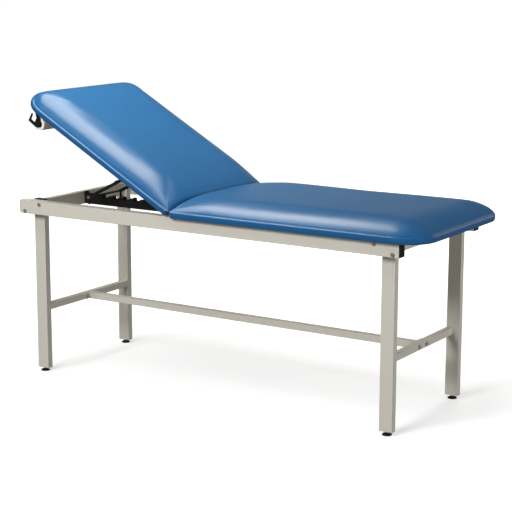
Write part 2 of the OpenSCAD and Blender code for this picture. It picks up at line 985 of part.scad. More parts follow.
module wood_screw(t) {
    translate([0, 0, -t - screw_head_h])
        cylinder(r = screw_head_r, h = screw_head_h);
    translate([0, 0, -t])
        cylinder(r = screw_r, h = t + screw_depth - side_gap);
}

module prop_bracket_screws() {
    color(bright_steel)
        on_backrest_underside()
            both_sides()
                for (x = prop_screw_x)
                    translate([x, prop_screw_y, 0])
                        wood_screw(leaf_t);
}

// shoulder pins: a head inside each arm and a riveted end outside each bracket
module prop_pivot_pins() {
    color(bright_steel)
        on_backrest_underside()
            both_sides()
                translate([pivot_along, 0, -pivot_drop]) {
                    rod_y(pivot_r, arm_y - arm_t / 2 - side_gap, ear_y + leaf_t);
                    rod_y(
                        arm_eye_r * 0.8,
                        arm_y - arm_t / 2 - side_gap - leaf_t, arm_y - arm_t / 2 - side_gap
                    );
                    rod_y(arm_eye_r * 0.8, ear_y + leaf_t, ear_y + 2 * leaf_t);
                }
}

// prop
module prop_arm() {
    y0 = arm_y - arm_t / 2;
    y1 = arm_y + arm_t / 2;
    difference() {
        union() {
            rod_y(arm_eye_r, y0, y1);
            block([-prop_len, y0, -arm_w / 2], [0, y1, arm_w / 2]);
            translate([-prop_len, 0, 0]) {
                rod_y(arm_w / 2, y0, y1);
                rotate([0, prop_slope, 0]) {
                    block([-arm_w / 3, y0, -tail_l], [arm_w / 3, y1, 0]);
                    translate([0, 0, -tail_l])
                        rod_y(arm_w / 3, y0, y1);
                }
            }
        }
        rod_y(pivot_r + run_gap, y0 - over, y1 + over);
        translate([-prop_len, 0, 0])
            rod_y(pin_r + run_gap, y0 - over, y1 + over);
    }
}

module prop_arm_near() {
    color(black_paint)
        on_prop()
            mirror([0, 1, 0])
                prop_arm();
}

module prop_arm_far() {
    color(black_paint)
        on_prop()
            prop_arm();
}

module prop_crossbar() {
    reach = arm_y + arm_t / 2 + pin_nut_t * 0.8;
    color(black_paint)
        on_prop()
            translate([-prop_len, 0, 0])
                rod_y(pin_r, -reach, reach);
}

// domed nuts, blind from outside
module prop_crossbar_nuts() {
    y0 = arm_y + arm_t / 2;
    color(bright_steel)
        on_prop()
            translate([-prop_len, 0, 0])
                both_sides()
                    difference() {
                        rod_y(pin_nut_r, y0, y0 + pin_nut_t);
                        rod_y(pin_r + run_gap, y0 - over, y0 + pin_nut_t * 0.85);
                    }
}

// paper roll and its holder
module paper_holder() {
    difference() {
        union() {
            translate([0, holder_y, 0])
                rotate([90, 0, 0])
                    linear_extrude(holder_t)
                        polygon([for (s = hook_shares) [roll_along + s[0] * roll_drop, -s[1] * roll_drop]]);
            block(
                [roll_along + hook_shares[0][0] * roll_drop, holder_y - holder_t - holder_flange, -holder_t],
                [roll_along + hook_shares[1][0] * roll_drop, holder_y - holder_t, 0]
            );
            translate([roll_along, 0, -roll_drop])
                rod_y(rod_r * 1.7, holder_y - holder_t, holder_y);
        }
        translate([roll_along, 0, -roll_drop])
            rod_y(rod_r + run_gap, holder_y - holder_t - over, holder_y + over);
        for (x = holder_screw_x)
            translate([x, holder_screw_y, -holder_t - over])
                cylinder(r = screw_r + run_gap, h = holder_t + 2 * over);
    }
}

module paper_holder_near() {
    color(black_paint)
        on_backrest_underside()
            mirror([0, 1, 0])
                paper_holder();
}

module paper_holder_far() {
    color(black_paint)
        on_backrest_underside()
            paper_holder();
}

module paper_holder_screws() {
    color(bright_steel)
        on_backrest_underside()
            both_sides()
                for (x = holder_screw_x)
                    translate([x, holder_screw_y, 0])
                        wood_screw(holder_t);
}

module paper_rod() {
    color(bright_steel)
        on_roll()
            rod_y(rod_r, -holder_y, holder_y);
}

module ring_y(r, bore, y0, y1) {
    difference() {
        rod_y(r, y0, y1);
        rod_y(bore, y0 - over, y1 + over);
    }
}

module paper_roll() {
    color(white_paper)
        on_roll()
            ring_y(paper_r, core_r + run_gap, -paper_half, paper_half);
}

module paper_core() {
    color(brown_card)
        on_roll()
            ring_y(core_r, core_r - core_wall, -paper_half, paper_half);
}

// end plugs that turn with the roll on the rod
module paper_hubs() {
    inner = core_r - core_wall - run_gap;
    y_out = holder_y - holder_t - side_gap;
    color(black_plastic)
        on_roll()
            both_sides() {
                ring_y(inner, rod_r + run_gap, paper_half - plug_l, y_out);
                ring_y(core_r, rod_r + run_gap, paper_half + run_gap, y_out);
            }
}

// levelling feet
module foot_pad() {
    cylinder(r1 = foot_r, r2 = foot_r * 0.9, h = foot_h);
}

module foot_stem() {
    translate([0, 0, foot_h])
        cylinder(r = stem_r, h = stem_l);
}

module foot_pad_near_head() {
    color(black_plastic)
        at_leg(-1, -1)
            foot_pad();
}

module foot_stem_near_head() {
    color(bright_steel)
        at_leg(-1, -1)
            foot_stem();
}

module foot_pad_far_head() {
    color(black_plastic)
        at_leg(-1, 1)
            foot_pad();
}

module foot_stem_far_head() {
    color(bright_steel)
        at_leg(-1, 1)
            foot_stem();
}

module foot_pad_near_foot() {
    color(black_plastic)
        at_leg(1, -1)
            foot_pad();
}

module foot_stem_near_foot() {
    color(bright_steel)
        at_leg(1, -1)
            foot_stem();
}

module foot_pad_far_foot() {
    color(black_plastic)
        at_leg(1, 1)
            foot_pad();
}

module foot_stem_far_foot() {
    color(bright_steel)
        at_leg(1, 1)
            foot_stem();
}

// assembly
side_rail_near();
side_rail_far();
rail_end_caps();
leg_near_head();
leg_far_head();
leg_near_foot();
leg_far_foot();
leg_top_caps();
leg_inserts();
leg_plates();
rail_bolts();
cross_rail_head();
cross_rail_foot();
crossbar_head();
crossbar_foot();
stretcher();
stretcher_end_plates();
brace_bolts();
brace_nuts();
hinge_cross_member();
toothed_bar();
toothed_bar_end_plates();
toothed_bar_bolts();
seat_board();
seat_cushion();
seat_spacers();
seat_screws();
seat_hinge_leaves();
seat_hinge_screws();
hinge_pins();
backrest_board();
backrest_cushion();
backrest_hinge_leaves();
backrest_hinge_screws();
prop_brackets();
prop_bracket_screws();
prop_pivot_pins();
paper_holder_near();
paper_holder_far();
paper_holder_screws();
paper_rod();
prop_arm_near();
prop_arm_far();
prop_crossbar();
prop_crossbar_nuts();
paper_roll();
paper_core();
paper_hubs();
foot_pad_near_head();
foot_stem_near_head();
foot_pad_far_head();
foot_stem_far_head();
foot_pad_near_foot();
foot_stem_near_foot();
foot_pad_far_foot();
foot_stem_far_foot();
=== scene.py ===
import json
import math
import bpy
import bmesh
from mathutils import Matrix, Vector, noise


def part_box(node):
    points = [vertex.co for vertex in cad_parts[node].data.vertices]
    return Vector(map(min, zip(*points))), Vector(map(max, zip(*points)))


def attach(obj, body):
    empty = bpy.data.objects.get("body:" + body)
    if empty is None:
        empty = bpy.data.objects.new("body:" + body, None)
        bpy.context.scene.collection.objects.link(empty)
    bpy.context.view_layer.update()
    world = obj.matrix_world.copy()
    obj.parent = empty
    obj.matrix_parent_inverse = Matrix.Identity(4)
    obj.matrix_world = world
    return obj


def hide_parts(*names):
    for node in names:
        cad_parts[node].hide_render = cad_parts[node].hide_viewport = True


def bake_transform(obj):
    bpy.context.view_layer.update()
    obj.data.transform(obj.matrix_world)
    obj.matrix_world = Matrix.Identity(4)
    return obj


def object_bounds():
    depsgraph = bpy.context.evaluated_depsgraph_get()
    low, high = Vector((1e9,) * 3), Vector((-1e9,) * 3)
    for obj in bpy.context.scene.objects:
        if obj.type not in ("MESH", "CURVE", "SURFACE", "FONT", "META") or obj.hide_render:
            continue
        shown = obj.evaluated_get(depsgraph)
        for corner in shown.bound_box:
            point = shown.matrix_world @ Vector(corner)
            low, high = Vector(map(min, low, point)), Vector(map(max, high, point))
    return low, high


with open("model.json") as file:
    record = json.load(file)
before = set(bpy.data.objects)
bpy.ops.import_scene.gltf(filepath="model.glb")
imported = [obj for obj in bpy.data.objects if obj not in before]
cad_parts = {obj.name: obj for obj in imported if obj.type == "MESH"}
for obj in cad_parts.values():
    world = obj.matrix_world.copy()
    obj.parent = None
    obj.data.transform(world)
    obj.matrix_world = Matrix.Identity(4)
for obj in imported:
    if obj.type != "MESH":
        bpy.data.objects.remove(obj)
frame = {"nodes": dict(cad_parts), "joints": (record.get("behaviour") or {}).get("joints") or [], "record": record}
cadLow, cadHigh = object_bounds()
scene = bpy.context.scene
mm = 0.001


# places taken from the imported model
def jointNamed(name):
    return next(j for j in frame["joints"] if j["name"] == name)


hingeAxis = Vector(jointNamed("backrest_hinge")["pos_m"])
restTilt = math.radians(-jointNamed("backrest_hinge")["range_deg"][0])
rollAxis = Vector(jointNamed("paper_roll_spin")["pos_m"])
tiltMatrix = Matrix.Translation(hingeAxis) @ Matrix.Rotation(restTilt, 4, "Y")


# a node's output that takes part in Python sums
class Wire:
    def __init__(self, nodes, socket):
        self.nodes, self.socket = nodes, socket

    def math(self, kind, first, second):
        return self.nodes.add("ShaderNodeMath", {"operation": kind}, {0: first, 1: second})

    def __add__(self, other):
        return self.math("ADD", self, other)

    def __radd__(self, other):
        return self.math("ADD", other, self)

    def __sub__(self, other):
        return self.math("SUBTRACT", self, other)

    def __rsub__(self, other):
        return self.math("SUBTRACT", other, self)

    def __mul__(self, other):
        return self.math("MULTIPLY", self, other)

    def __rmul__(self, other):
        return self.math("MULTIPLY", other, self)


class NodeTree:
    def __init__(self, tree):
        self.tree = tree

    # any node: its type, settings first, then values or links of its sockets
    def add(self, kind, settings=None, sockets=None, out=0):
        node = self.tree.nodes.new(kind)
        for key, value in (settings or {}).items():
            setattr(node, key, value)
        for key, value in (sockets or {}).items():
            if isinstance(value, Wire):
                self.tree.links.new(value.socket, node.inputs[key])
            else:
                node.inputs[key].default_value = value
        return Wire(self, node.outputs[out])


# a material in the making, with the few nodes that the finishes share
class Recipe(NodeTree):
    def __init__(self, name, rough=0.5, metal=0.0, specular=0.5, coat=0.0, coatRough=0.1):
        self.material = bpy.data.materials.new(name)
        self.material.use_nodes = True
        super().__init__(self.material.node_tree)
        self.shader = next(n for n in self.tree.nodes if n.type == "BSDF_PRINCIPLED")
        plain = {"Roughness": rough, "Metallic": metal, "Specular IOR Level": specular, "Coat Weight": coat,
                 "Coat Roughness": coatRough}
        for key, value in plain.items():
            self.shader.inputs[key].default_value = value
        self.place = self.add("ShaderNodeTexCoord", out="Object")

    def feed(self, name, wire):
        self.tree.links.new(wire.socket, self.shader.inputs[name])

    def stretched(self, scale):
        return self.add("ShaderNodeMapping", {}, {"Vector": self.place, "Scale": scale})

    def grainNoise(self, scale, detail, roughness=0.5, vector=None):
        return self.add("ShaderNodeTexNoise", {"noise_dimensions": "3D"},
                        {"Vector": vector or self.place, "Scale": scale, "Detail": detail, "Roughness": roughness})

    def remap(self, wire, low, high, toLow, toHigh):
        return self.add("ShaderNodeMapRange", {"clamp": True}, {0: wire, 1: low, 2: high, 3: toLow, 4: toHigh})

    # a mix of two colours, where the first may come from a node
    def tint(self, factor, under, over):
        under = under if isinstance(under, Wire) else (*under, 1)
        return self.add("ShaderNodeMix", {"data_type": "RGBA"}, {0: factor, 6: under, 7: (*over, 1)}, out=2)

    def roundEdges(self, radius):
        return self.add("ShaderNodeBevel", {"samples": 6}, {"Radius": radius})

    def relief(self, height, strength, distance, normal=None):
        sockets = {"Height": height, "Strength": strength, "Distance": distance}
        if normal is not None:
            sockets["Normal"] = normal
        return self.add("ShaderNodeBump", {}, sockets)

    # how close a point is to an outer edge: 0 on flats, 1 on edges
    def edgeMask(self, radius):
        edgeDot, flatDot = 0.72, 0.999
        bevel = self.roundEdges(radius)
        normal = self.add("ShaderNodeNewGeometry", out="Normal")
        dot = self.add("ShaderNodeVectorMath", {"operation": "DOT_PRODUCT"}, {0: bevel, 1: normal}, out="Value")
        return self.remap(dot, edgeDot, flatDot, 1.0, 0.0)


# materials
def framePaintMaterial():
    look = {"light": (0.64, 0.614, 0.542), "deep": (0.605, 0.576, 0.502), "edge": (0.68, 0.66, 0.60),
            "rough": (0.36, 0.50), "clouds": 2.2, "peel": 900.0, "corner": 2.2 * mm, "wearWide": 1.6 * mm,
            "wear": 0.35}
    r = Recipe("framePaint", specular=0.45)
    cloudy = r.grainNoise(look["clouds"], 4.0)
    fine = r.grainNoise(look["peel"], 2.0)
    tone = r.tint(cloudy, look["light"], look["deep"])
    r.feed("Base Color", r.tint(r.edgeMask(look["wearWide"]) * look["wear"], tone, look["edge"]))
    r.feed("Roughness", r.remap(cloudy * 0.7 + fine * 0.3, 0.3, 0.7, *look["rough"]))
    r.feed("Normal", r.relief(fine, 0.10, 0.4 * mm, r.roundEdges(look["corner"])))
    return r.material


def blackPaintMaterial():
    look = {"black": (0.005, 0.005, 0.006), "dusty": (0.015, 0.014, 0.014), "edge": (0.06, 0.06, 0.06),
            "rough": (0.34, 0.52), "clouds": 28.0, "peel": 1400.0, "corner": 0.8 * mm, "wearWide": 0.6 * mm,
            "wear": 0.5}
    r = Recipe("blackPaint", specular=0.35)
    cloudy = r.grainNoise(look["clouds"], 4.0)
    fine = r.grainNoise(look["peel"], 2.0)
    tone = r.tint(cloudy, look["black"], look["dusty"])
    r.feed("Base Color", r.tint(r.edgeMask(look["wearWide"]) * look["wear"], tone, look["edge"]))
    r.feed("Roughness", r.remap(cloudy, 0.3, 0.7, *look["rough"]))
    r.feed("Normal", r.relief(fine, 0.15, 0.3 * mm, r.roundEdges(look["corner"])))
    return r.material


def blackPlasticMaterial():
    look = {"black": (0.006, 0.006, 0.006), "worn": (0.017, 0.017, 0.018), "rough": (0.42, 0.62),
            "clouds": 60.0, "pores": 1300.0, "corner": 1.0 * mm}
    r = Recipe("blackPlastic", specular=0.35)
    cloudy = r.grainNoise(look["clouds"], 5.0)
    pores = r.add("ShaderNodeTexVoronoi", {"feature": "F1"}, {"Vector": r.place, "Scale": look["pores"]})
    r.feed("Base Color", r.tint(cloudy, look["black"], look["worn"]))
    r.feed("Roughness", r.remap(cloudy, 0.3, 0.7, *look["rough"]))
    r.feed("Normal", r.relief(pores, 0.12, 0.3 * mm, r.roundEdges(look["corner"])))
    return r.material


def brightSteelMaterial():
    look = {"bright": (0.62, 0.62, 0.63), "dull": (0.48, 0.47, 0.46), "rough": (0.26, 0.42),
            "clouds": 90.0, "drawn": 500.0, "corner": 0.6 * mm}
    r = Recipe("brightSteel", metal=0.78)
    cloudy = r.grainNoise(look["clouds"], 4.0)
    drawn = r.grainNoise(look["drawn"], 3.0, 0.6, r.stretched((1.0, 0.08, 1.0)))
    r.feed("Base Color", r.tint(cloudy, look["bright"], look["dull"]))
    r.feed("Roughness", r.remap(drawn * 0.6 + cloudy * 0.4, 0.3, 0.7, *look["rough"]))
    r.feed("Normal", r.relief(drawn, 0.08, 0.2 * mm, r.roundEdges(look["corner"])))
    return r.material


def plywoodMaterial():
    look = {"pale": (0.62, 0.43, 0.25), "dark": (0.42, 0.26, 0.13), "pore": (0.20, 0.11, 0.06),
            "rough": (0.55, 0.75), "figure": 9.0, "pores": 160.0}
    r = Recipe("plywood", specular=0.3)
    figure = r.grainNoise(look["figure"], 6.0, 0.62, r.stretched((0.35, 4.0, 1.0)))
    pores = r.grainNoise(look["pores"], 3.0, 0.6, r.stretched((0.08, 2.0, 1.0)))
    tone = r.tint(r.remap(figure, 0.35, 0.68, 0.0, 1.0), look["pale"], look["dark"])
    r.feed("Base Color", r.tint(r.remap(pores, 0.60, 0.72, 0.0, 0.35), tone, look["pore"]))
    r.feed("Roughness", r.remap(figure, 0.3, 0.7, *look["rough"]))
    r.feed("Normal", r.relief(pores, 0.25, 0.4 * mm))
    return r.material


def vinylMaterial():
    look = {"blue": (0.016, 0.105, 0.262), "deep": (0.013, 0.090, 0.228), "groove": (0.022, 0.085, 0.22),
            "rough": (0.27, 0.34), "grain": 620.0, "crease": 210.0, "haze": 380.0, "clouds": 5.0}
    r = Recipe("blueVinyl", specular=0.42, coat=0.06, coatRough=0.3)
    haze = r.grainNoise(look["haze"], 2.0)
    cells = r.add("ShaderNodeTexVoronoi", {"feature": "DISTANCE_TO_EDGE"},
                  {"Vector": r.stretched((1.0, 1.25, 1.0)), "Scale": look["grain"]})
    creases = r.add("ShaderNodeTexVoronoi", {"feature": "DISTANCE_TO_EDGE"},
                    {"Vector": r.stretched((1.0, 0.8, 1.0)), "Scale": look["crease"]})
    cloudy = r.grainNoise(look["clouds"], 3.0)
    grain = r.remap(cells, 0.0, 0.12, 0.0, 1.0) * 0.7 + r.remap(creases, 0.0, 0.05, 0.0, 1.0) * 0.3
    tone = r.tint(cloudy, look["blue"], look["deep"])
    r.feed("Base Color", r.tint((1 - grain) * 0.25, tone, look["groove"]))
    r.feed("Roughness", r.remap(cloudy * 0.5 + haze * 0.5, 0.3, 0.7, *look["rough"]))
    r.feed("Normal", r.relief(grain, 0.22, 0.12 * mm))
    return r.material


def paperMaterial():
    look = {"paper": (0.88, 0.80, 0.70), "shade": (0.78, 0.69, 0.58), "cut": (0.95, 0.94, 0.92),
            "rough": (0.78, 0.92), "crepe": 420.0, "layers": 35.0, "cutDeep": 0.4 * mm}
    r = Recipe("crepePaper", specular=0.2)
    crepe = r.grainNoise(look["crepe"], 4.0, 0.6, r.stretched((1.0, 0.25, 1.0)))
    layers = r.grainNoise(look["layers"], 3.0, 0.5, r.stretched((1.0, 0.05, 1.0)))
    tone = r.tint(r.remap(layers * 0.6 + crepe * 0.4, 0.35, 0.65, 0.0, 1.0), look["paper"], look["shade"])
    # the roll's cut ends are paler
    across = r.add("ShaderNodeSeparateXYZ", {}, {0: r.place}, out="Y")
    fromMiddle = r.add("ShaderNodeMath", {"operation": "ABSOLUTE"}, {0: across})
    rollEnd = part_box("paper_roll")[1].y
    r.feed("Base Color", r.tint(r.remap(fromMiddle, rollEnd - look["cutDeep"], rollEnd, 0.0, 1.0), tone, look["cut"]))
    r.feed("Roughness", r.remap(crepe, 0.3, 0.7, *look["rough"]))
    r.feed("Normal", r.relief(crepe, 0.35, 0.4 * mm))
    return r.material


def cardMaterial():
    look = {"card": (0.36, 0.25, 0.15), "fibre": (0.27, 0.18, 0.10), "fibres": 240.0}
    r = Recipe("rollCard", rough=0.8, specular=0.2)
    fibre = r.grainNoise(look["fibres"], 4.0, 0.6, r.stretched((1.0, 0.2, 1.0)))
    r.feed("Base Color", r.tint(fibre, look["card"], look["fibre"]))
    r.feed("Normal", r.relief(fibre, 0.3, 0.3 * mm))
    return r.material


materials = {
    "frame_paint": framePaintMaterial(),
    "black_paint": blackPaintMaterial(),
    "black_plastic": blackPlasticMaterial(),
    "bright_steel": brightSteelMaterial(),
    "plywood": plywoodMaterial(),
    "vinyl": vinylMaterial(),
    "paper": paperMaterial(),
    "card": cardMaterial(),
}
print("materials made")

slotOf = {s["node"]: s["material_slot"] for s in frame["record"]["subparts"]}
for nodeName, nodeObject in frame["nodes"].items():
    finish = materials[slotOf[nodeName]]
    if not nodeObject.material_slots:
        nodeObject.data.materials.append(finish)
    for materialSlot in nodeObject.material_slots:
        materialSlot.material = finish
print("nodes dressed")


# mesh helpers
def meshPiece(name, points, faces, body, slotName):
    mesh = bpy.data.meshes.new(name)
    mesh.from_pydata([tuple(p) for p in points], [], faces)
    b = bmesh.new()
    b.from_mesh(mesh)
    bmesh.ops.remove_doubles(b, verts=b.verts, dist=0.02 * mm)
    bmesh.ops.dissolve_degenerate(b, edges=b.edges, dist=0.01 * mm)
    bmesh.ops.recalc_face_normals(b, faces=b.faces)
    b.to_mesh(mesh)
    b.free()
    piece = bpy.data.objects.new(name, mesh)
    scene.collection.objects.link(piece)
    piece.data.materials.append(materials[slotName])
    for polygon in mesh.polygons:
        polygon.use_smooth = True
    if body:
        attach(piece, body)
    return piece


def ringFaces(ringCount, ringSize):
    faces = []
    for k in range(ringCount - 1):
        for i in range(ringSize):
            j = (i + 1) % ringSize
            faces.append((k * ringSize + i, (k + 1) * ringSize + i, (k + 1) * ringSize + j, k * ringSize + j))
    return faces


# a turned piece round the Z axis of its place: profile of (radius, height) pairs in mm
def turned(name, profile, place, body, slotName, steps=40):
    points = []
    for radius, height in profile:
        for i in range(steps):
            a = 2 * math.pi * i / steps
            points.append(place @ (Vector((radius * math.cos(a), radius * math.sin(a), height)) * mm))
    return meshPiece(name, points, ringFaces(len(profile), steps), body, slotName)


# cushions: x runs from the hinge to the free end, y across, z up from the board's underside
pad = {
    "half": 343 * mm, "backLength": 788 * mm, "axisLift": 9 * mm, "bendReach": 50 * mm,
    # board and hem
    "boardThick": 18 * mm, "boardInset": 3 * mm, "boardEnd": 10.1 * mm, "boardGap": 0.2 * mm, "underGap": 0.1 * mm,
    "hem": 27 * mm, "hemThick": 1.0 * mm, "recessRings": (320 * mm, 150 * mm),
    # side wall: inset and height in mm, up to the crease
    "edge": [(2.0, 1.6), (1.1, 4.2), (0.4, 7.3), (0.05, 10.4), (0.0, 13.2), (0.36, 15.55), (1.4, 17.4), (3.0, 18.75),
             (4.8, 19.4), (6.2, 19.5), (7.6, 19.25), (8.7, 19.4)],
    "rollTo": 14, "creaseAt": 8.4 * mm, "windowRun": 5.5 * mm,
    # crown, with its rings' insets in mm
    "band": 19 * mm, "crown": 49 * mm, "run": 150 * mm, "rise": 185 * mm,
    "crownRings": (10.2, 12.4, 15.2, 18.6, 23, 28.5, 35.5, 44, 54, 66, 81, 98, 117, 138, 160, 184, 210, 240, 270, 300,
                   325),
    # corners and steps of each outline
    "cornerFree": 112 * mm, "cornerHinge": 12 * mm, "leastFree": 32 * mm, "leastHinge": 6 * mm, "leastHalf": 0.4 * mm,
    "cornerMost": 0.6, "arcSteps": 12, "longSteps": 40, "shortSteps": 30,
    # hinge end
    "hingeFoot": 7.3 * mm, "hingeLip": 3.7 * mm, "seamLow": 0.20, "seamHigh": 0.74, "seamRun": 230 * mm,
    "lipRound": 10 * mm, "lipShare": 0.35, "lipDrop": 1.5 * mm, "lipLeast": 19.4 * mm, "lipWide": 0.985,
    "endReach": 60 * mm, "endRound": 14 * mm, "endFoot": 2 * mm, "leanFrom": 12 * mm, "leanRun": 7 * mm,
    "leanFade": 25 * mm, "hingeSlack": 3 * mm,
    # free end
    "plainFrom": 60 * mm, "plainRun": 55 * mm, "noseFoot": 13.2 * mm, "noseDepth": 10.2 * mm, "nosePower": 0.6,
    # slight unevenness of the cover, calm in the middle
    "ripple": 0.35 * mm, "rippleScale": 9, "calmRings": 5,
}


def arch(u):
    return 1.0 if u >= 1 else 1 - (1 - max(0.0, u)) ** 3


def smooth(u):
    u = min(1.0, max(0.0, u))
    return u * u * (3 - 2 * u)


# one outline, the same number of points each time: r0 rounds the corners at x0, r1 those at x1
def padOutline(x0, x1, half, r0, r1):
    n, longCount, shortCount = pad["arcSteps"], pad["longSteps"], pad["shortSteps"]
    points = []

    def corner(cx, cy, radius, start):
        for i in range(n + 1):
            a = math.radians(start + 90 * i / n)
            points.append((cx + radius * math.cos(a), cy + radius * math.sin(a)))

    def straight(p, q, count):
        for i in range(1, count):
            points.append((p[0] + (q[0] - p[0]) * i / count, p[1] + (q[1] - p[1]) * i / count))

    corner(x1 - r1, half - r1, r1, 0)
    straight((x1 - r1, half), (x0 + r0, half), longCount)
    corner(x0 + r0, half - r0, r0, 90)
    straight((x0, half - r0), (x0, r0 - half), shortCount)
    corner(x0 + r0, r0 - half, r0, 180)
    straight((x0 + r0, -half), (x1 - r1, -half), longCount)
    corner(x1 - r1, r1 - half, r1, 270)
    straight((x1, r1 - half), (x1, half - r1), shortCount)
    return points


# inset outline: d from the free sides, e from the hinge end
def insetOutline(length, d, e):
    half = max(pad["half"] - d, pad["leastHalf"])
    r0 = min(max(pad["cornerHinge"] - d, pad["leastHinge"]), half * pad["cornerMost"])
    r1 = min(max(pad["cornerFree"] - d, pad["leastFree"]), half * pad["cornerMost"])
    return padOutline(e, length - d, half, r0, r1)


# quads straight across the innermost outline, between its two long sides, and one face for each rounded end
def capFaces(first):
    arc = pad["arcSteps"]
    side = 2 * (arc + 1) + pad["longSteps"] - 1
    mirrorStart = side + pad["shortSteps"] - 1
    size = 2 * mirrorStart
    faces = [(first + i, first + i + 1, first + mirrorStart + side - 2 - i, first + mirrorStart + side - 1 - i)
             for i in range(arc, side - 1 - arc)]
    faces.append(tuple(first + i for i in range(side - 1 - arc, mirrorStart + arc + 1)))
    faces.append(tuple(first + i % size for i in range(mirrorStart + side - 1 - arc, size + arc + 1)))
    return faces


# distance to the free sides and the free end
def outlineDistance(x, y, length):
    r = pad["cornerFree"]
    ux, uy = x - (length - r), abs(y) - (pad["half"] - r)
    if ux > 0 and uy > 0:
        return r - math.hypot(ux, uy)
    return min(length - x, pad["half"] - abs(y))


# the crown's share at the hinge end: lower at the sides
def seamShare(y):
    return pad["seamLow"] + (pad["seamHigh"] - pad["seamLow"]) * smooth((pad["half"] - abs(y)) / pad["seamRun"])


# the rolled edge and its crease fade into a plain round nose at the free end
def plainShare(x, length):
    return smooth((x - length + pad["plainFrom"]) / pad["plainRun"])


# the crown's share of its full height near the sides and the free end
def crownShare(x, y, length, endRun):
    return arch((pad["half"] - abs(y)) / pad["run"]) * arch(max(0.0, length - x) / endRun)


# height of the crown over the board's underside
def crownHeight(x, y, length, endRun, extraCrown):
    e = max(0.0, x)
    share = seamShare(y)
    lip = 1 - math.exp(-e / pad["lipRound"])
    slow = 1 - (1 - min(1.0, e / pad["rise"])) ** 2
    along = share + (1 - share) * (pad["lipShare"] * lip + (1 - pad["lipShare"]) * slow)
    window = 1 - math.exp(-max(0.0, outlineDistance(x, y, length) - pad["creaseAt"]) / pad["windowRun"])
    window += (1 - window) * plainShare(x, length)
    crown = pad["crown"] + extraCrown * smooth(e / pad["rise"])
    return pad["band"] + crown * crownShare(x, y, length, endRun) * along * window


# lean of the hinge end: it follows the plane in which the two cushions meet
def hingeLean(z):
    if z > pad["band"]:
        return pad["hingeLip"] + (z - pad["band"]) * math.tan(restTilt / 2)
    climb = smooth((z - pad["leanFrom"]) / pad["leanRun"])
    return pad["hingeFoot"] + (pad["hingeLip"] - pad["hingeFoot"]) * climb


# the cover swells over its foam: its edge, hinge end and underside are held, and no point moves further than cap
stuffing = {"pressure": 4.0, "frames": 20, "mass": 0.3, "stiff": 12.0, "bend": 0.6, "cap": 3.0 * mm, "heldTo": 22 * mm,
            "freeFrom": 34 * mm, "heldEnd": 16 * mm, "freeEnd": 60 * mm}


def swell(piece):
    mesh = piece.data
    start = [v.co.copy() for v in mesh.vertices]
    held = piece.vertex_groups.new(name="held")
    for v in mesh.vertices:
        up = smooth((v.co.z - stuffing["heldTo"]) / (stuffing["freeFrom"] - stuffing["heldTo"]))
        along = smooth((v.co.x - stuffing["heldEnd"]) / (stuffing["freeEnd"] - stuffing["heldEnd"]))
        held.add([v.index], 1 - up * along, "REPLACE")
    cloth = piece.modifiers.new("cover", "CLOTH")
    sewn = cloth.settings
    sewn.quality, sewn.mass, sewn.vertex_group_mass = 5, stuffing["mass"], "held"
    sewn.tension_stiffness = sewn.compression_stiffness = sewn.shear_stiffness = stuffing["stiff"]
    sewn.bending_stiffness = stuffing["bend"]
    sewn.use_pressure, sewn.uniform_pressure_force = True, stuffing["pressure"]
    sewn.effector_weights.gravity = 0
    cloth.point_cache.frame_start, cloth.point_cache.frame_end = 1, stuffing["frames"]
    for frameNumber in range(1, stuffing["frames"] + 1):
        scene.frame_set(frameNumber)
    moved = piece.evaluated_get(bpy.context.evaluated_depsgraph_get()).to_mesh()
    shifts = [v.co - old for v, old in zip(moved.vertices, start)]
    print(piece.name, "swelled by up to", round(max(d.length for d in shifts) * 1000, 1), "mm before the cap")
    piece.modifiers.clear()
    scene.frame_set(1)
    cap = stuffing["cap"]
    for v, old, shift in zip(mesh.vertices, start, shifts):
        v.co = old + shift * (cap / (cap + shift.length))
    mesh.update()


